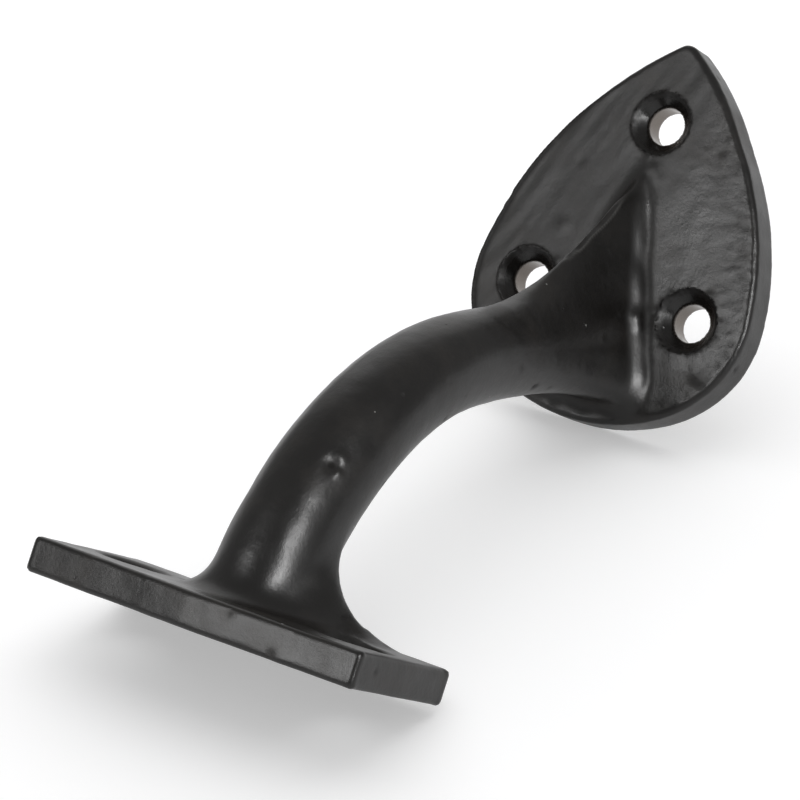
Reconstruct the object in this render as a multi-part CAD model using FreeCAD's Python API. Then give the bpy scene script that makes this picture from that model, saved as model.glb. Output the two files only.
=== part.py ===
"""Cast handrail bracket: a wall plate, a swept arm and a rail plate, poured as one piece.

Frame, in millimetres: the flat back of the wall plate lies in Y = 0 and the arm reaches
out along -Y. X runs along the rail, and +Z is up. The origin is midway between the two
upper wall screw holes. The rail plate is on top and the point of the wall plate is down.
"""
import FreeCAD
import Part
import math
import os

# Wall plate: a shield with a blunt point at the bottom.
PLATE_THICKNESS = 6.0
PLATE_TOP = 18.2            # height of the round end above the origin
FLANK_RADIUS = 51.8
FLANK_CENTRE = (-28.2, 3.5) # X and height of the centre that the +X flank is struck from
CORNER_RADIUS = 17.4
TOP_RADIUS = 30.8
POINT_RADIUS = 2.0
PLATE_EDGE_ROUND = 0.8

# Countersunk screw holes, the same size in both plates.
HOLE_DIAMETER = 5.8
COUNTERSINK_DIAMETER = 9.9
WALL_HOLE_SPACING = 28.0
POINT_HOLE_DROP = 27.6      # from the upper pair down to the hole near the point
RAIL_HOLE_SPACING = 36.0

# Rail plate: a six-sided pad that is a little wider at its middle than at its ends.
PROJECTION = 76.2           # wall face to the middle of the rail plate
RAIL_FACE_HEIGHT = 61.3     # face that meets the rail, above the origin
RAIL_PLATE_THICKNESS = 4.85
RAIL_PLATE_LENGTH = 51.4
RAIL_PLATE_END_WIDTH = 23.6
RAIL_PLATE_MID_WIDTH = 25.8
RAIL_PLATE_CORNER = 1.0
RAIL_PLATE_EDGE_BREAK = 0.35

# Arm: its axis leaves the wall plate on a rise, then bends up to the rail plate.
ROOT_HEIGHT = 6.3           # where the arm's axis leaves the wall plate
ROOT_SLOPE = 16.0           # degrees above level
BEND_RADIUS = 47.8
ARM_INSET = 2.95            # the bend stands this much nearer the wall than the rail plate's middle
ARM_ROOT_RADIUS = 6.4
ARM_TIP_RADIUS = 7.4

# Buttress: below the root it narrows to a ridge, and the top of the root is broad and square.
BUTTRESS_DROP = 22.6        # depth of the ridge under the arm, at the wall plate
BUTTRESS_REACH = 30.0       # distance along the arm at which the ridge has died out
BUTTRESS_SWEEP = 1.8        # power of the ridge's fall: 1 is straight, more is hollower
RIDGE_RADIUS = 1.4
ROOT_SHOULDER = 6.8         # how far the top corners of the root spread
ROOT_RISE = 2.2             # how far the top of the root stands up
ROOT_SQUARENESS = 2.0       # added to the power of the ellipse over the root's top half
ROOT_REACH = 22.0

# Cast fillets where the arm runs into the two plates: width and height of each.
WALL_FILLET = {"inner": (1.7, 4.0), "flank": (3.3, 4.0), "outer": (1.2, 4.0)}
RAIL_FILLET = {"inner": (1.9, 9.0), "flank": (4.6, 5.0), "outer": (3.8, 4.2)}
FILLET_BURY = 0.3           # the feet of the fillets run this far into the plates

# Sections of the arm. Each is parallel to a plate beside it, and turns square to the axis
# over the length given.
WALL_LEVELLING = 32.0
RAIL_LEVELLING = 16.0
SECTION_POINTS = 24
BEND_STATIONS = 8           # spans between the two fillets
FILLET_STEPS = (0.0, 0.16, 0.3, 0.48, 0.7, 1.0)     # shares of a fillet's height

TOUCHING = 1e-6             # lengths below this are taken as nothing


def smooth_step(value):
    value = min(max(value, 0.0), 1.0)
    return value * value * (3 - 2 * value)


def vector(y, z, x=0.0):
    return FreeCAD.Vector(x, y, z)


def arc(start, middle, end):
    return Part.Arc(start, middle, end).toShape()


def on_circle(centre, radius, angle):
    """A point of the shield's outline, with its angle measured from +X towards +Z."""
    return centre + FreeCAD.Vector(radius * math.cos(angle), 0, radius * math.sin(angle))


def angle_of(direction):
    return math.atan2(direction.z, direction.x)


def circle_crossing(centre_a, radius_a, centre_b, radius_b):
    """The crossing of two circles in the plane of the plate that lies furthest to +X."""
    gap = centre_b - centre_a
    along = (gap.Length ** 2 + radius_a ** 2 - radius_b ** 2) / (2 * gap.Length)
    across = math.sqrt(radius_a ** 2 - along ** 2)
    unit = FreeCAD.Vector(gap).normalize()
    side = FreeCAD.Vector(-unit.z, 0, unit.x)
    crossings = [centre_a + unit * along + side * across * sign for sign in (1, -1)]
    return max(crossings, key=lambda point: point.x)


def shield_half():
    """Tangent arcs from the lowest point of the shield round its +X side to the top."""
    flank = FreeCAD.Vector(FLANK_CENTRE[0], 0, FLANK_CENTRE[1])
    top = FreeCAD.Vector(0, 0, PLATE_TOP - TOP_RADIUS)
    corner = circle_crossing(top, TOP_RADIUS - CORNER_RADIUS, flank, FLANK_RADIUS - CORNER_RADIUS)
    reach = FLANK_RADIUS - POINT_RADIUS
    point = FreeCAD.Vector(0, 0, flank.z - math.sqrt(reach ** 2 - flank.x ** 2))
    stops = [
        (point, POINT_RADIUS, -math.pi / 2, angle_of(point - flank)),
        (flank, FLANK_RADIUS, angle_of(point - flank), angle_of(corner - flank)),
        (corner, CORNER_RADIUS, angle_of(corner - flank), angle_of(corner - top)),
        (top, TOP_RADIUS, angle_of(corner - top), math.pi / 2),
    ]
    return [arc(*(on_circle(centre, radius, angle) for angle in (first, (first + last) / 2, last)))
            for centre, radius, first, last in stops]


def wall_plate():
    half = shield_half()
    other = [edge.mirror(vector(0, 0), vector(0, 0, 1)) for edge in half]
    outline = Part.Wire(Part.__sortEdges__(half + other))
    plate = Part.Face(outline).extrude(vector(-PLATE_THICKNESS, 0))
    rim = [edge for edge in plate.Edges
           if edge.BoundBox.YLength < TOUCHING and edge.BoundBox.YMax < -PLATE_THICKNESS / 2]
    return plate.makeFillet(PLATE_EDGE_ROUND, rim)


def rail_plate():
    half_length = RAIL_PLATE_LENGTH / 2
    half_end = RAIL_PLATE_END_WIDTH / 2
    half_mid = RAIL_PLATE_MID_WIDTH / 2
    corners = [(half_length, half_end), (0, half_mid), (-half_length, half_end),
               (-half_length, -half_end), (0, -half_mid), (half_length, -half_end)]
    points = [vector(across - PROJECTION, RAIL_FACE_HEIGHT, x) for x, across in corners]
    pad = Part.Face(Part.makePolygon(points + points[:1])).extrude(vector(0, -RAIL_PLATE_THICKNESS))
    upright = [edge for edge in pad.Edges
               if edge.BoundBox.ZLength > TOUCHING and abs(edge.BoundBox.XMin) > TOUCHING]
    pad = pad.makeFillet(RAIL_PLATE_CORNER, upright)
    rims = [edge for edge in pad.Edges if edge.BoundBox.ZLength < TOUCHING]
    return pad.makeChamfer(RAIL_PLATE_EDGE_BREAK, rims)


class ArmPath:
    """The arm's axis: a rise out of the wall plate, a bend, and an upright end if there is room."""

    def __init__(self):
        self.slope = math.radians(ROOT_SLOPE)
        bend_y = ARM_INSET - PROJECTION + BEND_RADIUS
        run = -PLATE_THICKNESS - bend_y + BEND_RADIUS * math.sin(self.slope)
        self.bend_start = run / math.cos(self.slope)
        bend_z = ROOT_HEIGHT + run * math.tan(self.slope) + BEND_RADIUS * math.cos(self.slope)
        self.bend_centre = vector(bend_y, bend_z)
        above_centre = RAIL_FACE_HEIGHT - RAIL_PLATE_THICKNESS - bend_z
        missing = math.asin(max(-above_centre, 0.0) / BEND_RADIUS)
        self.bend_end = self.bend_start + BEND_RADIUS * (math.pi / 2 - missing - self.slope)
        self.length = self.bend_end + max(above_centre, 0.0)

    def at(self, distance):
        """The point of the axis at a distance from the wall plate, and its slope in radians."""
        if distance <= self.bend_start:
            run = vector(-math.cos(self.slope), math.sin(self.slope)) * distance
            return vector(-PLATE_THICKNESS, ROOT_HEIGHT) + run, self.slope
        angle = self.slope + (min(distance, self.bend_end) - self.bend_start) / BEND_RADIUS
        out = vector(-math.sin(angle), -math.cos(angle)) * BEND_RADIUS
        beyond = vector(-math.cos(angle), math.sin(angle)) * max(distance - self.bend_end, 0.0)
        return self.bend_centre + out + beyond, angle


def foot(sizes, height, turn):
    """How far the fillet stands out at a height above its plate, in the direction of turn."""
    end = sizes["inner"] if math.cos(turn) > 0 else sizes["outer"]
    flank_share = math.sin(turn) ** 2
    width, tall = (side * flank_share + tip * (1 - flank_share) for side, tip in zip(sizes["flank"], end))
    level = min(max((height + FILLET_BURY) / tall, 0.0), 1.0)
    return width * (1 - math.sqrt(level * (2 - level)))


def arm_section(path, distance):
    """A closed smooth curve round the arm: a round bar, let down to a ridge near the wall plate."""
    centre, slope = path.at(distance)
    near_wall = 1 - smooth_step(distance / WALL_LEVELLING)
    near_rail = 1 - smooth_step((path.length - distance) / RAIL_LEVELLING)
    tilt = slope * (1 - near_wall) * (1 - near_rail) + math.pi / 2 * near_rail
    inward = vector(math.sin(tilt), math.cos(tilt))

    radius = ARM_ROOT_RADIUS + (ARM_TIP_RADIUS - ARM_ROOT_RADIUS) * smooth_step(distance / path.length)
    ridge = max(1 - distance / BUTTRESS_REACH, 0.0)
    drop = BUTTRESS_DROP * ridge ** BUTTRESS_SWEEP
    ridge_radius = radius + (RIDGE_RADIUS - radius) * smooth_step(2 * ridge)
    root = max(1 - distance / ROOT_REACH, 0.0) ** 2
    power = 2 / (2 + ROOT_SQUARENESS * root)

    points = []
    for step in range(SECTION_POINTS):
        turn = 2 * math.pi * step / SECTION_POINTS
        up, side = math.cos(turn), math.sin(turn)
        lowness = smooth_step(1 - abs(turn / math.pi - 1) * 2)
        if up > 0:
            up, side = up ** power, math.copysign(abs(side) ** power, side)
        spread = foot(WALL_FILLET, distance, turn) + foot(RAIL_FILLET, path.length - distance, turn)
        width = radius + ROOT_SHOULDER * root * ((1 + up) / 2) ** 2
        width += (ridge_radius - width) * lowness + spread
        height = radius + (ridge_radius - radius) * lowness + spread
        if up > 0:
            height += ROOT_RISE * root
        sunk = (radius + drop - ridge_radius) * lowness
        points.append(centre + inward * (height * up - sunk) + vector(0, 0, width * side))
    curve = Part.BSplineCurve()
    curve.interpolate(points, PeriodicFlag=True, Parameters=list(range(SECTION_POINTS + 1)))
    return Part.Wire(curve.toShape())


def arm():
    path = ArmPath()
    wall_tall = max(height for _, height in WALL_FILLET.values())
    rail_tall = max(height for _, height in RAIL_FILLET.values())
    wall_steps = [step * wall_tall - FILLET_BURY for step in FILLET_STEPS]
    rail_steps = [path.length + FILLET_BURY - step * rail_tall for step in reversed(FILLET_STEPS)]
    first, last = wall_steps[-1], rail_steps[0]
    between = [first + (last - first) * step / BEND_STATIONS for step in range(1, BEND_STATIONS)]
    sections = [arm_section(path, distance) for distance in wall_steps + between + rail_steps]
    return Part.makeLoft(sections, True, False, False)


def countersunk_hole(mouth, inward, thickness):
    """A screw hole and its right-angled countersink, opening at mouth and running along inward."""
    hole_radius = HOLE_DIAMETER / 2
    mouth_radius = COUNTERSINK_DIAMETER / 2
    clear = 2 * thickness
    drill = Part.makeCylinder(hole_radius, 2 * clear, mouth - inward * clear, inward)
    cone = Part.makeCone(mouth_radius, hole_radius, mouth_radius - hole_radius, mouth, inward)
    above = Part.makeCylinder(mouth_radius, clear, mouth - inward * clear, inward)
    return drill.fuse([cone, above])


def screw_holes():
    wall_mouths = [vector(-PLATE_THICKNESS, 0, side * WALL_HOLE_SPACING / 2) for side in (1, -1)]
    wall_mouths.append(vector(-PLATE_THICKNESS, -POINT_HOLE_DROP))
    seat = RAIL_FACE_HEIGHT - RAIL_PLATE_THICKNESS
    rail_mouths = [vector(-PROJECTION, seat, side * RAIL_HOLE_SPACING / 2) for side in (1, -1)]
    return ([countersunk_hole(mouth, vector(1, 0), PLATE_THICKNESS) for mouth in wall_mouths]
            + [countersunk_hole(mouth, vector(0, 1), RAIL_PLATE_THICKNESS) for mouth in rail_mouths])


def bracket_casting():
    casting = wall_plate().fuse([rail_plate(), arm()]).cut(screw_holes())
    if len(casting.Solids) != 1:
        raise ValueError("the plates and the arm do not join into one casting")
    return casting.Solids[0]


def main():
    os.makedirs("parts", exist_ok=True)
    casting = bracket_casting()
    casting.exportStep("parts/bracket_casting.step")
    print("bracket_casting: volume %.0f mm3, valid %s" % (casting.Volume, casting.isValid()))


if __name__ == "__main__":
    main()
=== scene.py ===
"""Gives the cast handrail bracket its looks: a hand-dressed sand casting under a satin black coat."""
import math
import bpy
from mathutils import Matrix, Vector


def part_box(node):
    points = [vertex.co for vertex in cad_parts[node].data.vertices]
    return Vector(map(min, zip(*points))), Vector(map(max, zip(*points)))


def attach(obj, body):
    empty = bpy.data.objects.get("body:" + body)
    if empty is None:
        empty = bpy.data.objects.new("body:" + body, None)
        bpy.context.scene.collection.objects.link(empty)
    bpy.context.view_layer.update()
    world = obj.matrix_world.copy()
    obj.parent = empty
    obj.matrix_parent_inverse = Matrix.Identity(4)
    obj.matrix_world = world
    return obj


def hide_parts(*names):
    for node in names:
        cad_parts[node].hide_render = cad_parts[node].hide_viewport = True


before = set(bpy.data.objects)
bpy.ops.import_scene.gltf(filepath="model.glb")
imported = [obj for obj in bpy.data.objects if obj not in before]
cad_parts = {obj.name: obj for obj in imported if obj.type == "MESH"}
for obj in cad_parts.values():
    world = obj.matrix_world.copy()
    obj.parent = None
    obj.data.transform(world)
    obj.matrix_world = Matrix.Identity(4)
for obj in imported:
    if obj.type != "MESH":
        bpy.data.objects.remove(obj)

from types import SimpleNamespace

import bmesh
import bpy
from bpy.props import FloatProperty, FloatVectorProperty, IntProperty, PointerProperty
from mathutils import Matrix, Vector, noise
from mathutils.bvhtree import BVHTree

bl_info = {
    "name": "Handrail Bracket",
    "version": (1, 0, 0),
    "blender": (4, 5, 0),
    "location": "View3D > Sidebar > Bracket",
    "description": "A cast handrail bracket in a satin black coat, on a pale studio table",
    "category": "Add Mesh",
}

CASTING = "bracket_casting"
MM = 0.001
LOW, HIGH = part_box(CASTING)

# Where the casting's features lie, in millimetres in the frame of the part.
PLATE_FACE_Y = -6.0
WALL_SCREWS = ((14.0, 0.0), (-14.0, 0.0), (0.0, -27.6))     # x and z of their axes
COUNTERSINK_RADIUS = 4.95
BORE_RADIUS = 2.9
CONE_FOOT_Y = PLATE_FACE_Y + COUNTERSINK_RADIUS - BORE_RADIUS     # where a countersink ends in its bore
ROOT_LOW_Z, ROOT_HIGH_Z = -21.5, 17.0     # the arm's root on the wall plate
ROOT_HALF_WIDTH = 16.5
RIDGE_END_Z = -22.0              # where the ridge under the arm runs out on the wall plate
RAIL_PLATE_Y = -76.2             # the middle of the rail plate
RAIL_PLATE_BACK_Z = 56.45
RAIL_PLATE_HALF_LENGTH = 25.7
RAIL_PLATE_HALF_END = 11.8       # half its width at its ends
RAIL_PLATE_HALF_MIDDLE = 12.9    # half its width in its middle
RAIL_SCREW_X = 18.0
ARM_FOOT_Y = -73.3               # the arm's axis at the rail plate's back
ARM_FOOT_RADIUS = 7.2
ARM_TO_EDGE = 10.0               # from the arm's axis to the rail plate's edge nearest the wall
ARM_END_Z = 41.0                 # where the last stretch of the arm under the rail plate begins
BEND_RADIUS = 47.8

# What is this one casting's own, in millimetres. FULLER_ are the amounts by which it is fuller than drawn.
FULLER_FLANK = 0.5
FULLER_TOP = 0.45
FULLER_POINT_SIDE = 0.45
FULLER_POINT_END = 0.6
FULLER_RAIL_END = 0.45
FLARE_SIDE = Vector((-0.8, 0.6, 0.0))     # the side of the arm on which the rail plate's fillet is widest
SMALLEST_BALL = 1.2              # the least radius of that fillet
FILLET_MARGIN = 0.7              # what it leaves free of the rail plate's edge
SEAM_START, SEAM_END = (-16.0, -11.0), (-6.0, -1.0)     # heights over which it begins and dies out
SEAM_REACH = (-28.0, -8.0)       # the stretch of y on which the ridge is ground flat
SEAM_HALF_WIDTH = 2.4
SEAM_TILT = -0.15                # how far the ground flat leans to one side
STROKES_RUN = (0.40, 0.916)      # x and z of the way in which the dressed half's strokes run
STROKE_HEIGHT = 0.085
PEBBLE_HEIGHT = 0.075
FINE_PEBBLE_HEIGHT = 0.05
FACE_SLANT = 0.55                # how far the wall plate's face falls back towards its +X edge
FOOT_TOP, FOOT_END = 0.9, 2.8    # above the wall plate: where the arm's foot stands out most, and where it ends
CORNER_HEIGHT = 0.28
CORNER_SPREAD = 0.6
RIM_WIDTH = 0.45                 # how far from its circle a countersink's rim is ragged
BLISTER = (-4.4, -72.6, 35.9)
HILLS = (    # place, radius and height; a negative height makes a hollow
    ((9.4, -6.0, -3.6), 0.55, 0.35),
    ((10.5, -6.0, -9.0), 1.0, 0.22),
    ((-1.2, -6.5, -20.5), 0.9, 0.30),
    ((-2.6, -6.3, -19.3), 0.6, 0.22),
    (BLISTER, 1.15, -0.34),
    ((-4.9, -71.7, 34.6), 0.9, 0.20),
    ((-5.4, -72.2, 36.6), 0.7, 0.24),
    ((-6.8, -7.8, 1.6), 0.8, 0.50),
    ((-7.6, -7.6, 2.9), 0.55, 0.34),
    ((-7.3, -7.9, 0.0), 0.7, 0.20),
    ((-5.4, -28.4, 16.6), 0.5, -0.25),
    ((11.2, -6.0, -19.3), 0.5, -0.25),
)
CREASE = (Vector((-16.2, -6.0, 6.4)), Vector((-19.6, -6.0, 9.6)))
CREASE_DEPTH = 0.12
CREASE_WIDTH = 0.4

# The stage, in metres. The bracket lies on two of its edges, so the table leans in the frame of the part.
TABLE_UP = Vector((0.0, -0.5628, -0.8266)).normalized()
RIGHT = Vector((-0.8218, 0.4802, -0.3066))     # to the right in the view
AWAY = TABLE_UP.cross(RIGHT).normalized()     # away from the camera
TABLE_GAP = 0.0002               # keeps the uneven skin clear of the table
TABLE_POINT = Vector((0.0, -0.0633, 0.0613)) - TABLE_UP * TABLE_GAP
TABLE_SIZE = 3.0
LAMPS = (    # name, turn and height in degrees, distance in metres, width and height in metres, hidden from
    # The lamp over the table gives the shadows, and stays out of the coat's reflections.
    ("key", 2.0, 60.0, 0.9, (1.8, 1.8), "visible_glossy"),
    # The other two only shine in the coat, so that they throw no shadows of their own.
    ("side", -123.0, 30.0, 1.1, (0.54, 0.54), "visible_diffuse"),
    ("spark", 149.5, 31.0, 0.6, (0.11, 0.40), "visible_diffuse"),
)
BACKDROP = (3.0, 26.0)           # turn and height in degrees
BACKDROP_EDGE = (0.88, 0.97)     # cosines between which it begins and is full
OPENING = (126.0, 16.0)
OPENING_EDGE = (0.90, 0.98)


# ---------------------------------------------------------------- settings

def length(name, description, millimetres, least=0.0):
    """A length for the sidebar, which Blender holds in metres."""
    return FloatProperty(name=name, description=description, unit="LENGTH", precision=5,
                         default=millimetres * MM, min=least * MM)


def share(name, description, default):
    """A setting from 0 to 1."""
    return FloatProperty(name=name, description=description, subtype="FACTOR", default=default,
                         min=0.0, max=1.0)


def tint(name, description, red, green, blue):
    """An opaque colour, given in linear light."""
    return FloatVectorProperty(name=name, description=description, subtype="COLOR", size=4,
                               default=(red, green, blue, 1.0), min=0.0, max=1.0)


def lamp_power(name, description, default):
    """A lamp's power in watts."""
    return FloatProperty(name=name, description=description, subtype="POWER", default=default, min=0.0)


class CastSkinSettings(bpy.types.PropertyGroup):
    """Sizes of what the foundry leaves on the casting."""
    grain: length("Grain", "Edge length of the skin's quads", 0.4, 0.4)
    wave_height: length("Wave Height", "Height of the broad waves in the skin", 0.08)
    wave_length: length("Wave Length", "Length of the broad waves", 9.0)
    ripple_height: length("Ripple Height", "Height of the short ripples", 0.028)
    ripple_length: length("Ripple Length", "Length of the short ripples", 2.4)
    pit_depth: length("Pit Depth", "Depth of the deepest sand pits", 0.16)
    pit_radius: length("Pit Radius", "Radius of a sand pit", 0.45)
    pit_spacing: length("Pit Spacing", "Mean distance between pits", 4.2)
    rim_wander: length("Rim Wander", "How ragged the countersinks' rims are", 0.14)
    footing: length("Footing", "How far the arm's foot stands out above the wall plate", 0.36)
    rail_fillet: length("Rail Fillet", "Radius of the fillet on the rail plate", 3.2)
    flare: length("Flare", "How much wider the fillet on the rail plate is on one side", 10.5)
    seam_depth: length("Seam Depth", "How much was ground off the parting seam", 0.42)
    root_softness: IntProperty(name="Root Softness", description="Smoothing passes at the arm's two roots",
                               default=14, min=0)


class BlackCoatSettings(bpy.types.PropertyGroup):
    """Colours and finish of the black coat."""
    colour: tint("Colour", "Colour of the coat", 0.0070, 0.0060, 0.0052)
    dusty_colour: tint("Dusty Colour", "Colour of the coat where dusty or thin", 0.0165, 0.0135, 0.0110)
    speck_colour: tint("Speck Colour", "Colour of the specks of dust", 0.20, 0.20, 0.19)
    # Painted highlight: the pale colour painted along the ground seam's two edges.
    seam_edge_highlight_colour: tint("Seam Highlight Colour", "Colour of the coat where it is rubbed thin", 0.075, 0.072, 0.068)
    iron_colour: tint("Iron Colour", "Colour of the iron in the screw holes", 0.18, 0.155, 0.135)
    roughness: share("Roughness", "Mean roughness of the coat", 0.34)
    roughness_spread: share("Roughness Spread", "How far the roughness wanders in all", 0.12)
    peel_height: length("Peel Height", "Height of the orange peel", 0.05)
    pinhole_depth: length("Pinhole Depth", "Depth of the pinholes", 0.05)


class StageSettings(bpy.types.PropertyGroup):
    """The table, the lamps and the camera."""
    camera_place: FloatVectorProperty(name="Camera Place", description="Where the camera stands",
                                      subtype="TRANSLATION", default=(-0.2153, -0.4160, 0.0347))
    camera_heading: FloatProperty(name="Heading", description="Turn of the view from +Y towards +X",
                                  subtype="ANGLE", default=math.radians(30.733))
    camera_dip: FloatProperty(name="Dip", description="How far the view looks down", subtype="ANGLE",
                              default=math.radians(1.348))
    camera_roll: FloatProperty(name="Roll", description="Turn of the camera about its line of sight",
                               subtype="ANGLE", default=math.radians(-162.14))
    lens: FloatProperty(name="Lens", description="Focal length", unit="CAMERA", default=139.477)
    table: tint("Table", "Colour of the table", 0.72, 0.72, 0.725)
    glow: share("Glow", "White added where the camera sees the table, so that it stays white", 0.38)
    sheen: share("Sheen", "White added where the coat mirrors the table", 0.26)
    fill: share("Fill", "Strength of the world's light", 0.50)
    room: share("Room", "How bright the room round the table looks in the coat", 0.35)
    opening: share("Opening", "How bright the room's open right side looks in the coat", 0.75)
    key: lamp_power("Key", "Power of the overhead lamp", 8.5)
    side: lamp_power("Side", "Power of the soft lamp on the left", 5.4)
    spark: lamp_power("Spark", "Power of the small lamp by the camera", 3.0)


def own_settings(settings):
    """The names of the settings that a group adds to Blender's own."""
    return [name for name in settings.bl_rna.properties.keys() if name not in ("rna_type", "name")]


def in_millimetres(settings):
    """The settings as plain numbers, with their lengths turned into millimetres."""
    plain = {name: getattr(settings, name) for name in own_settings(settings)}
    for name in plain:
        if settings.bl_rna.properties[name].unit == "LENGTH":
            plain[name] /= MM
    return SimpleNamespace(**plain)


# ---------------------------------------------------------------- helpers

def bump(distance, radius):
    """A smooth hill: 1 at its centre, fading to nothing over about twice the radius."""
    return math.exp(-(distance / radius) ** 2)


def ramp(value, start, end):
    """0 at start, 1 at end, smooth between."""
    part = min(max((value - start) / (end - start), 0.0), 1.0)
    return part * part * (3 - 2 * part)


def from_hole(p):
    """Distance from the nearest wall screw's axis."""
    return min(math.hypot(p.x - x, p.z - z) for x, z in WALL_SCREWS)


def new_object(name, data):
    """An object in the scene for a mesh, a lamp or a camera."""
    made = bpy.data.objects.new(name, data)
    bpy.context.scene.collection.objects.link(made)
    return made


# ---------------------------------------------------------------- the cast skin

def even_skin(node, grain):
    """A merged copy of a CAD node, turned into even quads."""
    merged = bmesh.new()
    merged.from_mesh(node.data)
    bmesh.ops.remove_doubles(merged, verts=merged.verts, dist=1e-6)
    mesh = bpy.data.meshes.new("cast_skin")
    merged.to_mesh(mesh)
    piece = new_object("cast_bracket", mesh)
    remesh = piece.modifiers.new("even_skin", "REMESH")
    remesh.mode = "VOXEL"
    remesh.voxel_size = grain
    graph = bpy.context.evaluated_depsgraph_get()
    skin = bpy.data.meshes.new_from_object(piece.evaluated_get(graph))
    if not skin.polygons:
        raise RuntimeError(f"{node.name} gave a skin with no faces")
    piece.modifiers.clear()
    piece.data = skin
    lay_on(skin, BVHTree.FromBMesh(merged))
    merged.free()
    bpy.data.meshes.remove(mesh)
    return piece


def fine_zone(p):
    """Where the skin has details smaller than its quads."""
    on_rim = abs(from_hole(p) - COUNTERSINK_RADIUS) < 0.75 and abs(p.y - PLATE_FACE_Y) < 0.8
    return on_rim or (p - Vector(BLISTER)).length < 3.0


def lay_on(mesh, drawn):
    """Evens out the quads, halves those with fine details, and lays every corner back on the drawn shape."""
    bm = bmesh.new()
    bm.from_mesh(mesh)
    soften(bm, lambda p: True, 3)
    fine = [edge for edge in bm.edges if all(fine_zone(v.co / MM) for v in edge.verts)]
    bmesh.ops.subdivide_edges(bm, edges=fine, cuts=1, use_grid_fill=True)
    for v in bm.verts:
        v.co = drawn.find_nearest(v.co)[0]
    bm.to_mesh(mesh)
    bm.free()


def soften(bm, chosen, passes):
    """Smooths the corners that a test on their place chooses."""
    verts = [v for v in bm.verts if chosen(v.co / MM)]
    for _ in range(passes):
        bmesh.ops.smooth_vert(bm, verts=verts, factor=0.5, use_axis_x=True, use_axis_y=True, use_axis_z=True)


def near_wall_root(p):
    """The band round the arm's root, clear of the screw holes."""
    in_band = PLATE_FACE_Y - 4.0 < p.y < PLATE_FACE_Y + 0.4 and ROOT_LOW_Z < p.z < ROOT_HIGH_Z
    return in_band and abs(p.x) < ROOT_HALF_WIDTH and from_hole(p) > COUNTERSINK_RADIUS + 0.55


def near_ridge_foot(p, reach):
    """Where the ridge under the arm melts into the wall plate."""
    near = PLATE_FACE_Y - 7.5 * reach < p.y < PLATE_FACE_Y + 0.1
    near = near and RIDGE_END_Z - 2.0 < p.z < RIDGE_END_Z + 10.0 * reach
    return near and abs(p.x) < 6.0 and from_hole(p) > COUNTERSINK_RADIUS + 0.15


def near_rail_root(p):
    """The end of the arm and its fillet on the rail plate, clear of the plate's screw holes."""
    near = ARM_END_Z < p.z < RAIL_PLATE_BACK_Z + 0.55 and math.hypot(p.x, p.y - ARM_FOOT_Y) < 15.0
    return near and abs(abs(p.x) - RAIL_SCREW_X) > 4.0


def near_rail_ends(p):
    """The rail plate's two ends, without their corners."""
    near = p.z > RAIL_PLATE_BACK_Z - 0.2 and abs(p.x) > RAIL_PLATE_HALF_LENGTH - 2.1
    return near and abs(abs(p.y - RAIL_PLATE_Y) - RAIL_PLATE_HALF_END) > 1.2


def off_rims(p):
    """Everything but the countersinks' rims."""
    return from_hole(p) > COUNTERSINK_RADIUS + 0.45 or p.y < PLATE_FACE_Y - 1.0


def crisp_rims(bm):
    """Draws the corners nearest to the rim of each countersink, and to its bore, onto those circles."""
    snap = 0.13
    for v in bm.verts:
        p = v.co / MM
        for x, z in WALL_SCREWS:
            out = Vector((p.x - x, 0.0, p.z - z))
            for radius, y in ((COUNTERSINK_RADIUS, PLATE_FACE_Y), (BORE_RADIUS, CONE_FOOT_Y)):
                if abs(out.length - radius) < snap and abs(p.y - y) < snap:
                    out = out.normalized() * radius
                    v.co = Vector((x + out.x, y, z + out.z)) * MM


def ridge_points(bm):
    """The ridge under the arm's root, at each millimetre from the wall plate outwards."""
    skin = BVHTree.FromBMesh(bm)
    below = 1.5 * LOW[2]
    starts = [Vector((0.0, -out * MM, below)) for out in range(7, 30)]
    hits = [skin.ray_cast(start, Vector((0.0, 0.0, 1.0)))[0] for start in starts]
    return [hit / MM for hit in hits if hit]


def grind_seam(bm, depth):
    """Grinds a narrow leaf-shaped flat along the ridge, with a burr along each of its sides, and marks a
    painted highlight along its edges.
    """
    ridge = ridge_points(bm)
    # A mask for the painted highlight along the ground flat's edges.
    worn = bm.verts.layers.float.new("worn")
    for v in bm.verts:
        p = v.co / MM
        stretch = ramp(p.z, *SEAM_START) * (1 - ramp(p.z, *SEAM_END))
        on_seam = abs(p.x) < SEAM_HALF_WIDTH and SEAM_REACH[0] < p.y < SEAM_REACH[1]
        if stretch == 0.0 or not on_seam or p.z > ridge[-1].z + 3.0:
            continue
        nearest = min(range(1, len(ridge) - 1), key=lambda i: (ridge[i] - p).length)
        along = (ridge[nearest + 1] - ridge[nearest - 1]).normalized()
        outward = Vector((0.0, along.z, -along.y))
        outward = (-outward if outward.z > 0.0 else outward) + Vector((SEAM_TILT, 0.0, 0.0))
        high = (p - ridge[nearest]).dot(outward) + depth * stretch
        wander = 0.05 * noise.noise(Vector((0.0, p.y / 1.7, p.x)))
        # Painted highlight: a pale line along each edge of the ground flat.
        v[worn] = min(stretch, 0.8) * bump(high + 0.05, 0.14)
        burr = 0.35 * depth * stretch * bump(high + 0.12, 0.16)
        v.co += outward * ((burr - max(high + wander * stretch, 0.0)) * MM)


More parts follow.
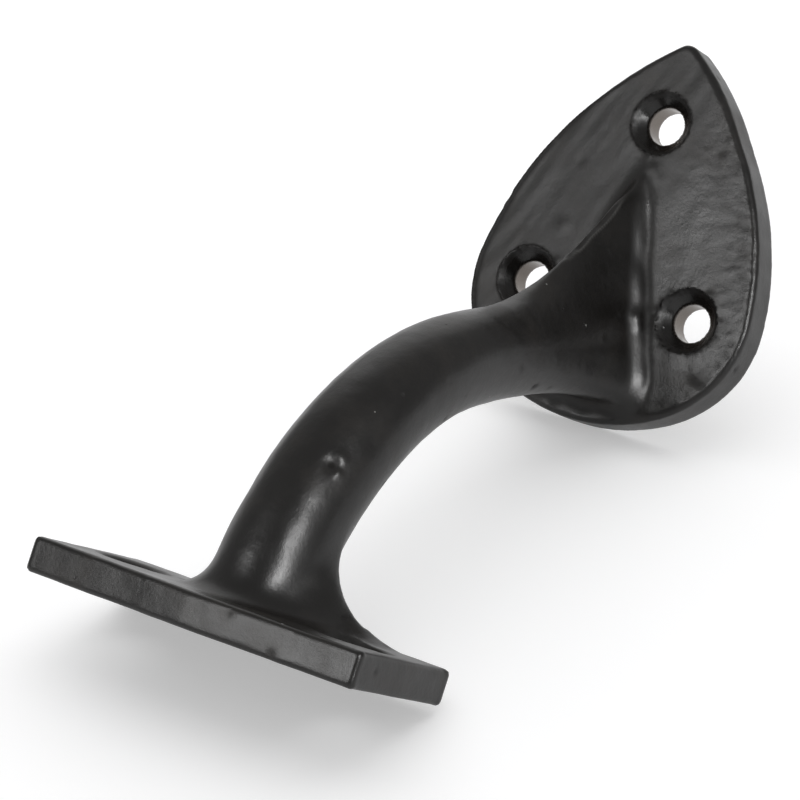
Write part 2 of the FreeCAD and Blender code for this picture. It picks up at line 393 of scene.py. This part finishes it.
def footing(p, normal, height):
    """The arm's foot stands upright above a soft groove, instead of running out in a wide fillet."""
    above = PLATE_FACE_Y - p.y
    at_foot = abs(p.x) < ROOT_HALF_WIDTH - 1.0 and ROOT_LOW_Z + 2.0 < p.z < ROOT_HIGH_Z
    if not (0.02 < above < 3.2 and at_foot and normal.y > -0.97):
        return Vector()
    above *= 1 + 0.30 * noise.noise(Vector((0.0, 4.0, p.z / 6.0)))
    rise = ramp(above, 0.0, FOOT_TOP) * (1 - ramp(above, FOOT_TOP, FOOT_END)) * ramp(p.z, -18.5, -7.0)
    rise *= (1 - ramp(p.z, 9.0, 13.0)) * (1 + 0.7 * noise.noise(Vector((9.0, 0.0, p.z / 4.5))))
    outward = Vector((normal.x, 0.0, normal.z)).normalized()
    return (outward + Vector((0.0, -0.8, 0.0))) * (height * rise)


def melted(p):
    """Where the lower end of the ridge goes, which melts into the wall plate."""
    above = PLATE_FACE_Y - p.y
    if above > 0.0 and p.z < -14.0 and from_hole(p) > COUNTERSINK_RADIUS + 0.3:
        above *= 1 - 0.65 * (1 - ramp(p.z, -20.0, -14.0)) * (1 - ramp(abs(p.x), 4.0, 7.0))
        return Vector((p.x, PLATE_FACE_Y - above, p.z))
    return p


def marks(p):
    """Small hills and hollows that stay where they are on this casting, in millimetres."""
    hills = sum(height * bump((p - Vector(place)).length, radius) for place, radius, height in HILLS
                if abs(p.y - place[1]) < 3 * radius)
    if abs(p.y - PLATE_FACE_Y) > 0.6:
        return hills
    start, end = CREASE
    along = min(max((p - start).dot(end - start) / (end - start).length_squared, 0.0), 1.0)
    wander = 0.35 * math.sin(along * 5.0)
    beside = (p - start.lerp(end, along) - Vector((wander, 0.0, wander))).length
    return hills - CREASE_DEPTH * bump(beside, CREASE_WIDTH) + 0.02 * bump(beside - 0.9, CREASE_WIDTH)


def pebbled_share(p):
    """0 on the dressed half of the wall plate's face and 1 on the pebbled half."""
    return ramp(-p.x + 0.25 * p.z, -3.0, 5.0)


def plate_skin(p):
    """The wall plate's face: dressed with long strokes on one half, left pebbled on the other."""
    pebbled = pebbled_share(p)
    run_x, run_z = STROKES_RUN
    across, along = p.x * run_z - p.z * run_x, p.x * run_x + p.z * run_z
    strokes = noise.noise(Vector((across / 1.7, along / 13.0, 3.0))) * STROKE_HEIGHT
    q = Vector((p.x / 1.9, 0.0, p.z / 1.25))
    pebbles = noise.noise(q) * PEBBLE_HEIGHT
    pebbles += noise.noise(q * 2.1 + Vector((5.0, 1.0, 2.0))) * FINE_PEBBLE_HEIGHT
    slant = -FACE_SLANT * ramp(p.x, 2.0, 26.0) ** 1.5
    return slant + strokes * (1 - pebbled) + pebbles * pebbled


def skin_relief(p, s):
    """How far the skin stands off the drawn shape at a place, in millimetres."""
    wave = noise.noise(p / s.wave_length) * s.wave_height
    wave += noise.noise(p / (s.wave_length * 0.45) + Vector((7.1, 3.3, 1.7))) * s.wave_height * 0.4
    ripple = noise.noise(p / s.ripple_length) * s.ripple_height
    distances, points = noise.voronoi(p / s.pit_spacing)
    size = 0.5 + 0.5 * noise.cell(points[0] * 3.7)
    pit = -s.pit_depth * size * bump(distances[0] * s.pit_spacing, s.pit_radius * (0.6 + 0.6 * size))
    return wave + ripple + pit


def fullness(p):
    """Where this casting is fuller than drawn: one flank, the shield's ends and the rail plate's ends."""
    if p.z > RAIL_PLATE_BACK_Z - 0.1:
        return Vector((math.copysign(FULLER_RAIL_END * ramp(abs(p.x), 20.0, 25.0), p.x), 0.0, 0.0))
    if p.y < PLATE_FACE_Y - 1.0:
        return Vector()
    to_point = ramp(-p.z, 18.0, 40.0)
    wave = 0.08 * noise.noise(p / 5.0) * ramp(abs(p.x) + abs(p.z) * 0.4, 20.0, 23.0)
    side = -FULLER_FLANK * ramp(-p.x, 12.0, 21.0) - FULLER_POINT_SIDE * to_point ** 1.5 + wave
    end = FULLER_TOP * ramp(p.z, 10.0, 17.0) - FULLER_POINT_END * to_point ** 3
    return Vector((side, 0.0, end)) * ramp(from_hole(p), 5.3, 8.0)


def sharp_corners(p):
    """The rail plate's four corners are sharper than drawn."""
    if p.z < RAIL_PLATE_BACK_Z:
        return 0.0
    off_end, off_side = abs(p.x) - RAIL_PLATE_HALF_LENGTH, abs(p.y - RAIL_PLATE_Y) - RAIL_PLATE_HALF_END
    return CORNER_HEIGHT * bump(math.hypot(off_end, off_side), CORNER_SPREAD)


def arm_centre(above):
    """The middle of the arm at a depth behind the rail plate's back."""
    return Vector((0.0, ARM_FOOT_Y + above ** 2 / (2 * BEND_RADIUS), RAIL_PLATE_BACK_Z - above))


def rolled_fillet(p, s, skin):
    """Where a corner of the skin goes when a ball is rolled between the rail plate's back and the arm."""
    above = RAIL_PLATE_BACK_Z - p.z
    out = Vector((p.x, p.y - arm_centre(above).y, 0.0))
    on_plate = abs(p.y - RAIL_PLATE_Y) < RAIL_PLATE_HALF_MIDDLE - 0.3
    if not (-0.05 < above < 14.0 and 5.0 < out.length < 20.0 and on_plate):
        return p
    way = out.normalized()
    reach = s.rail_fillet + s.flare * max(way.dot(FLARE_SIDE), 0.0) ** 2.5
    room = ARM_TO_EDGE / max(way.y, 0.01) - ARM_FOOT_RADIUS - FILLET_MARGIN
    ball = min(reach, max(room, SMALLEST_BALL))
    wall = skin.ray_cast(arm_centre(ball) * MM, way)[3] / MM
    centre = Vector((wall + ball, ball))
    place = Vector((out.length, above))
    if place.x >= centre.x or place.y >= centre.y or (place - centre).length <= ball:
        return p
    place = centre + (place - centre).normalized() * ball
    return arm_centre(place.y) + way * place.x


def rim_shift(p, wander):
    """Moves the rim of a countersink in and out along its circle."""
    for x, z in WALL_SCREWS:
        out = Vector((p.x - x, 0.0, p.z - z))
        near = math.hypot(out.length - COUNTERSINK_RADIUS, p.y - PLATE_FACE_Y)
        if near < RIM_WIDTH:
            ragged = noise.noise(p * 1.6) + 0.8 * noise.noise(p * 3.4)
            return out.normalized() * (wander * ragged * (1 - ramp(near, 0.05, RIM_WIDTH)))
    return Vector()


def shape_roots(bm, s):
    """Softens the arm's root on the wall plate and rolls its fillet on the rail plate."""
    for v in bm.verts:
        v.co = melted(v.co / MM) * MM
    soften(bm, near_wall_root, s.root_softness // 2)
    for reach in (1.35, 1.15, 1.0, 0.85, 0.7, 0.55):
        soften(bm, lambda p: near_ridge_foot(p, reach), s.root_softness // 2)
    skin = BVHTree.FromBMesh(bm)
    for v in bm.verts:
        if v.normal.z < 0.5:
            v.co = rolled_fillet(v.co / MM, s, skin) * MM
    soften(bm, near_rail_root, s.root_softness)
    soften(bm, near_rail_ends, 5)
    bm.normal_update()


def roughen(bm, s):
    """Lays the foundry's marks on the skin, and marks where the coat on it looks different."""
    names = ("bare", "pebbled", "dressed", "drilled")
    bare, pebbled, dressed, drilled = [bm.verts.layers.float.new(name) for name in names]
    moves = []
    for v in bm.verts:
        p = v.co / MM
        off_axis = from_hole(p)
        in_hole = off_axis < COUNTERSINK_RADIUS + 0.1 and p.y > PLATE_FACE_Y - 0.5
        relief = skin_relief(p, s) * (0.08 if in_hole else 1.0)
        v[drilled] = 1.0 - ramp(off_axis, COUNTERSINK_RADIUS - 1.1, COUNTERSINK_RADIUS - 0.3)
        if abs(p.y - PLATE_FACE_Y) < 0.5 and v.normal.y < -0.9:
            relief += plate_skin(p)
            v[pebbled] = pebbled_share(p)
            v[dressed] = 1.0 - v[pebbled]
        relief += marks(p) + sharp_corners(p)
        if off_axis < BORE_RADIUS + 0.3:
            v[bare] = ramp(p.y, CONE_FOOT_Y - 0.1, CONE_FOOT_Y + 0.5)
        moves.append((v, v.normal * relief + fullness(p) + rim_shift(p, s.rim_wander)))
    for v, move in moves:
        v.co += move * MM


def mark_tight_corners(bm):
    """Marks tight inner corners from 0 to 1, where the coat is made rougher and mirrors less."""
    corner_layer = bm.verts.layers.float.new("sheltered")
    bm.normal_update()
    hollow = {}
    for v in bm.verts:
        ways = [edge.other_vert(v).co - v.co for edge in v.link_edges]
        bend = sum(way.dot(v.normal) / way.length_squared for way in ways) / len(ways)
        hollow[v] = ramp(bend * MM, 0.08, 0.25)
    for _ in range(3):
        spread = {}
        for v, depth in hollow.items():
            around = sum(hollow[edge.other_vert(v)] for edge in v.link_edges) / len(v.link_edges)
            spread[v] = max(0.7 * depth, around)
        hollow = spread
    for v, depth in hollow.items():
        v[corner_layer] = min(1.4 * depth, 1.0)


def sculpt(piece, s):
    """Turns the even skin into this casting, with its coat's masks."""
    bm = bmesh.new()
    bm.from_mesh(piece.data)
    crisp_rims(bm)
    shape_roots(bm, s)
    grind_seam(bm, s.seam_depth)
    for v in bm.verts:
        v.co += footing(v.co / MM, v.normal, s.footing) * MM
    soften(bm, off_rims, 1)
    bm.normal_update()
    roughen(bm, s)
    soften(bm, near_wall_root, 5)
    bmesh.ops.recalc_face_normals(bm, faces=bm.faces)
    mark_tight_corners(bm)
    for face in bm.faces:
        face.smooth = True
    bm.to_mesh(piece.data)
    bm.free()


# ---------------------------------------------------------------- nodes

def plug(nodes, value, slot):
    """Feeds a node's socket with another node's output or with a plain value."""
    if isinstance(value, bpy.types.NodeSocket):
        nodes.id_data.links.new(value, slot)
    else:
        slot.default_value = value


def math_node(nodes, operation, *values):
    made = nodes.new("ShaderNodeMath")
    made.operation = operation
    for slot, value in zip(made.inputs, values):
        plug(nodes, value, slot)
    return made.outputs[0]


def ranged(nodes, value, start, end, low, high):
    """Turns a value's range from start to end into one from low to high, held at both."""
    made = nodes.new("ShaderNodeMapRange")
    numbers = (("Value", value), ("From Min", start), ("From Max", end), ("To Min", low), ("To Max", high))
    for name, number in numbers:
        plug(nodes, number, made.inputs[name])
    return made.outputs["Result"]


def mixed(nodes, factor, first, second, kind="RGBA"):
    """Mixes two colours, or two numbers where kind is FLOAT."""
    made = nodes.new("ShaderNodeMix")
    made.data_type = kind
    for name, value in (("Factor", factor), ("A", first), ("B", second)):
        plug(nodes, value, made.inputs[name])
    return made.outputs["Result"]


def mirrored_ray(nodes, ray):
    """1 for a ray that comes off a shiny surface or through glass, and 0 for any other."""
    return math_node(nodes, "MAXIMUM", ray.outputs["Is Glossy Ray"], ray.outputs["Is Transmission Ray"])


# ---------------------------------------------------------------- the black coat

def coat_grain_group():
    """Masks of a sprayed coat over cast iron: patches, orange peel, pinholes and specks, each from 0 to 1."""
    group = bpy.data.node_groups.new("coat_grain", "ShaderNodeTree")
    group.interface.new_socket(name="Vector", in_out="INPUT", socket_type="NodeSocketVector")
    for name, scale in (("Patch Scale", 130.0), ("Peel Scale", 1500.0), ("Pinhole Scale", 420.0)):
        made = group.interface.new_socket(name=name, in_out="INPUT", socket_type="NodeSocketFloat")
        made.default_value = scale
    for name in ("Patch", "Peel", "Pinholes", "Specks"):
        group.interface.new_socket(name=name, in_out="OUTPUT", socket_type="NodeSocketFloat")
    nodes, links = group.nodes, group.links
    inside, outside = nodes.new("NodeGroupInput"), nodes.new("NodeGroupOutput")
    patch, peel = nodes.new("ShaderNodeTexNoise"), nodes.new("ShaderNodeTexNoise")
    for tex, detail, roughness in ((patch, 5.0, 0.62), (peel, 4.0, 0.68)):
        tex.inputs["Detail"].default_value = detail
        tex.inputs["Roughness"].default_value = roughness
    cells = nodes.new("ShaderNodeTexVoronoi")
    for tex, scale in ((patch, "Patch Scale"), (peel, "Peel Scale"), (cells, "Pinhole Scale")):
        links.new(inside.outputs["Vector"], tex.inputs["Vector"])
        links.new(inside.outputs[scale], tex.inputs["Scale"])
    # Only a few of the cells hold a pinhole, and its size follows the cell's own random colour.
    pick = nodes.new("ShaderNodeSeparateColor")
    links.new(cells.outputs["Color"], pick.inputs["Color"])
    reach = math_node(nodes, "MULTIPLY", pick.outputs["Red"], 0.22)
    hole = ranged(nodes, cells.outputs["Distance"], 0.0, reach, 1.0, 0.0)
    hole.node.interpolation_type = "SMOOTHSTEP"
    chosen = math_node(nodes, "GREATER_THAN", pick.outputs["Green"], 0.80)
    pinholes = math_node(nodes, "MULTIPLY", hole, chosen)
    # The specks of dust sit in other cells than the pinholes do, and are smaller.
    dust = math_node(nodes, "LESS_THAN", cells.outputs["Distance"], 0.08)
    specks = math_node(nodes, "MULTIPLY", dust, math_node(nodes, "LESS_THAN", pick.outputs["Green"], 0.07))
    for mask, name in ((patch.outputs["Fac"], "Patch"), (peel.outputs["Fac"], "Peel"),
                       (pinholes, "Pinholes"), (specks, "Specks")):
        links.new(mask, outside.inputs[name])
    return group


def black_coat(s):
    """A satin black coat with dusty patches, specks, orange peel and pinholes, and iron in the bores."""
    material = bpy.data.materials.new("satin_black_coat")
    material.use_nodes = True
    nodes, links = material.node_tree.nodes, material.node_tree.links
    shader = nodes["Principled BSDF"]
    shader.inputs["IOR"].default_value = 1.46
    place = nodes.new("ShaderNodeTexCoord")
    grain = nodes.new("ShaderNodeGroup")
    grain.node_tree = coat_grain_group()
    links.new(place.outputs["Object"], grain.inputs["Vector"])
    patch, peel, pinholes, specks = (grain.outputs[name] for name in ("Patch", "Peel", "Pinholes", "Specks"))
    masks = {}
    for name in ("bare", "pebbled", "dressed", "sheltered", "worn", "drilled"):
        mask = nodes.new("ShaderNodeAttribute")
        mask.attribute_name = name
        masks[name] = mask.outputs["Fac"]

    coat = mixed(nodes, ranged(nodes, patch, 0.50, 0.78, 0.0, 1.0), s.colour, s.dusty_colour)
    coat = mixed(nodes, specks, coat, s.speck_colour)
    # Painted highlight along the ground seam's edges.
    coat = mixed(nodes, masks["worn"], coat, s.seam_edge_highlight_colour)
    links.new(mixed(nodes, masks["bare"], coat, s.iron_colour), shader.inputs["Base Color"])
    links.new(math_node(nodes, "MULTIPLY", masks["bare"], 0.7), shader.inputs["Metallic"])
    low, high = s.roughness - s.roughness_spread / 2, s.roughness + s.roughness_spread / 2
    rough = ranged(nodes, patch, 0.3, 0.7, low, high)
    duller = ((pinholes, 0.3), (masks["dressed"], 0.1), (masks["sheltered"], 0.35), (masks["drilled"], -0.14))
    for mask, change in duller:
        rough = math_node(nodes, "ADD", rough, math_node(nodes, "MULTIPLY", mask, change))
    links.new(rough, shader.inputs["Roughness"])
    # Tight inner corners mirror less, so they render darker there.
    links.new(ranged(nodes, masks["sheltered"], 0.0, 1.0, 0.5, 0.18), shader.inputs["Specular IOR Level"])

    bumpy = math_node(nodes, "MULTIPLY", peel, ranged(nodes, masks["pebbled"], 0.0, 1.0, 0.62, 1.0))
    bumpy = math_node(nodes, "MULTIPLY", bumpy, ranged(nodes, masks["drilled"], 0.0, 1.0, 1.0, 0.1))
    bumpy = math_node(nodes, "MULTIPLY", bumpy, s.peel_height)
    height = math_node(nodes, "SUBTRACT", bumpy, math_node(nodes, "MULTIPLY", pinholes, s.pinhole_depth))
    relief = nodes.new("ShaderNodeBump")
    relief.inputs["Distance"].default_value = 1.0
    links.new(height, relief.inputs["Height"])
    links.new(relief.outputs["Normal"], shader.inputs["Normal"])
    return material


class OBJECT_OT_cast_bracket(bpy.types.Operator):
    """Make the bracket's cast and coated body"""
    bl_idname = "object.cast_bracket"
    bl_label = "Cast Bracket"

    def execute(self, context):
        skin = context.scene.bracket_skin
        piece = even_skin(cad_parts[CASTING], skin.grain)
        sculpt(piece, in_millimetres(skin))
        piece.data.materials.clear()
        piece.data.materials.append(black_coat(context.scene.bracket_coat))
        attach(piece, "root")
        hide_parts(CASTING)
        return {"FINISHED"}


# ---------------------------------------------------------------- the stage

def direction(turn, height):
    """A direction from its turn to the right of straight away from the camera, and its height, in degrees."""
    turn, height = math.radians(turn), math.radians(height)
    level = AWAY * math.cos(turn) + RIGHT * math.sin(turn)
    return level * math.cos(height) + TABLE_UP * math.sin(height)


def table_material(s):
    """A white table seen from its upper side only, which keeps the bracket's shadow."""
    material = bpy.data.materials.new("table")
    material.use_nodes = True
    nodes, links = material.node_tree.nodes, material.node_tree.links
    nodes.remove(nodes["Principled BSDF"])
    diffuse = nodes.new("ShaderNodeBsdfDiffuse")
    diffuse.inputs["Color"].default_value = s.table
    glow = nodes.new("ShaderNodeEmission")
    ray = nodes.new("ShaderNodeLightPath")
    mirrored = math_node(nodes, "MULTIPLY", mirrored_ray(nodes, ray), s.sheen)
    seen = math_node(nodes, "MULTIPLY", ray.outputs["Is Camera Ray"], s.glow)
    links.new(math_node(nodes, "ADD", seen, mirrored), glow.inputs["Strength"])
    both = nodes.new("ShaderNodeAddShader")
    links.new(diffuse.outputs[0], both.inputs[0])
    links.new(glow.outputs[0], both.inputs[1])
    clear = nodes.new("ShaderNodeBsdfTransparent")
    side = nodes.new("ShaderNodeNewGeometry")
    pick = nodes.new("ShaderNodeMixShader")
    links.new(side.outputs["Backfacing"], pick.inputs["Fac"])
    links.new(both.outputs[0], pick.inputs[1])
    links.new(clear.outputs[0], pick.inputs[2])
    links.new(pick.outputs[0], nodes["Material Output"].inputs["Surface"])
    return material


def make_table(s):
    """The table that the bracket lies on."""
    bm = bmesh.new()
    turn = TABLE_UP.to_track_quat("Z", "Y").to_matrix().to_4x4()
    place = Matrix.Translation(TABLE_POINT) @ turn
    bmesh.ops.create_grid(bm, x_segments=1, y_segments=1, size=TABLE_SIZE, matrix=place)
    mesh = bpy.data.meshes.new("table")
    bm.to_mesh(mesh)
    bm.free()
    table = new_object("table", mesh)
    table.data.materials.append(table_material(s))


def make_lamp(name, place, aim, size, power):
    """A soft lamp that stands upright over the table and that the camera doesn't see."""
    lamp = bpy.data.lights.new(name, "AREA")
    lamp.shape = "ELLIPSE"
    lamp.size, lamp.size_y = size
    lamp.energy = power
    holder = new_object(name, lamp)
    holder.location = place
    back = (place - aim).normalized()
    right = TABLE_UP.cross(back).normalized()
    holder.rotation_mode = "QUATERNION"
    holder.rotation_quaternion = Matrix((right, back.cross(right), back)).transposed().to_quaternion()
    holder.visible_camera = False
    return holder


def hang_lamps(s):
    """Hangs the lamps that LAMPS lists round the middle of the bracket."""
    middle = (Vector(LOW) + Vector(HIGH)) / 2
    for name, turn, height, distance, size, hidden_from in LAMPS:
        place = middle + direction(turn, height) * distance
        lamp = make_lamp(name, place, middle, size, getattr(s, name))
        setattr(lamp, hidden_from, False)


def brightness_toward(nodes, way, aim, edge, low, high):
    """A brightness that goes from low to high as a ray turns towards an aim, between two cosines."""
    turned = nodes.new("ShaderNodeVectorMath")
    turned.operation = "DOT_PRODUCT"
    turned.inputs[1].default_value = aim
    nodes.id_data.links.new(way, turned.inputs[0])
    return ranged(nodes, turned.outputs["Value"], *edge, low, high)


def make_world(s):
    """A plain fill light, a white backdrop behind the table, and a darker room around it."""
    world = bpy.data.worlds.new("white_room")
    world.use_nodes = True
    nodes, links = world.node_tree.nodes, world.node_tree.links
    sky = nodes["Background"]
    sky.inputs["Color"].default_value = (1.0, 1.0, 1.0, 1.0)
    ray = nodes.new("ShaderNodeLightPath")
    way = nodes.new("ShaderNodeTexCoord").outputs["Generated"]
    backdrop = brightness_toward(nodes, way, direction(*BACKDROP), BACKDROP_EDGE, s.room, 1.0)
    opening = brightness_toward(nodes, way, direction(*OPENING), OPENING_EDGE, s.room, s.opening)
    room = math_node(nodes, "MAXIMUM", backdrop, opening)
    seen = mixed(nodes, mirrored_ray(nodes, ray), s.fill, room, "FLOAT")
    links.new(mixed(nodes, ray.outputs["Is Camera Ray"], seen, 1.0, "FLOAT"), sky.inputs["Strength"])
    bpy.context.scene.world = world


def make_camera(s):
    """The camera, turned by its heading, its dip and its roll."""
    camera = bpy.data.cameras.new("camera")
    camera.lens = s.lens
    camera.sensor_width = 36.0
    camera.clip_start, camera.clip_end = 0.01, 20.0
    holder = new_object("camera", camera)
    heading, dip = s.camera_heading, s.camera_dip
    view = Vector((math.sin(heading) * math.cos(dip), math.cos(heading) * math.cos(dip), -math.sin(dip)))
    level = view.to_track_quat("-Z", "Y").to_matrix()
    holder.rotation_mode = "QUATERNION"
    holder.rotation_quaternion = (level @ Matrix.Rotation(s.camera_roll, 3, "Z")).to_quaternion()
    holder.location = s.camera_place
    bpy.context.scene.camera = holder


class SCENE_OT_bracket_stage(bpy.types.Operator):
    """Lay the table, hang the lamps and place the camera"""
    bl_idname = "scene.bracket_stage"
    bl_label = "Studio Stage"

    def execute(self, context):
        stage = context.scene.bracket_stage
        make_table(stage)
        hang_lamps(stage)
        make_world(stage)
        make_camera(stage)
        context.scene.view_settings.view_transform = "Standard"
        return {"FINISHED"}


class VIEW3D_PT_handrail_bracket(bpy.types.Panel):
    """The bracket's pieces and their sizes"""
    bl_idname = "VIEW3D_PT_handrail_bracket"
    bl_label = "Handrail Bracket"
    bl_space_type = "VIEW_3D"
    bl_region_type = "UI"
    bl_category = "Bracket"

    def draw(self, context):
        for title, settings, operator in (
            ("Casting", context.scene.bracket_skin, OBJECT_OT_cast_bracket),
            ("Coat", context.scene.bracket_coat, None),
            ("Stage", context.scene.bracket_stage, SCENE_OT_bracket_stage),
        ):
            box = self.layout.box()
            box.label(text=title)
            for name in own_settings(settings):
                box.prop(settings, name)
            if operator:
                box.operator(operator.bl_idname)


CLASSES = (CastSkinSettings, BlackCoatSettings, StageSettings, OBJECT_OT_cast_bracket, SCENE_OT_bracket_stage,
           VIEW3D_PT_handrail_bracket)


def register():
    for item in CLASSES:
        bpy.utils.register_class(item)
    bpy.types.Scene.bracket_skin = PointerProperty(type=CastSkinSettings)
    bpy.types.Scene.bracket_coat = PointerProperty(type=BlackCoatSettings)
    bpy.types.Scene.bracket_stage = PointerProperty(type=StageSettings)


def unregister():
    del bpy.types.Scene.bracket_stage
    del bpy.types.Scene.bracket_coat
    del bpy.types.Scene.bracket_skin
    for item in reversed(CLASSES):
        bpy.utils.unregister_class(item)


def main():
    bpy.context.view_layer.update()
    register()
    bpy.ops.object.cast_bracket()
    bpy.ops.scene.bracket_stage()


if __name__ == "__main__":
    main()
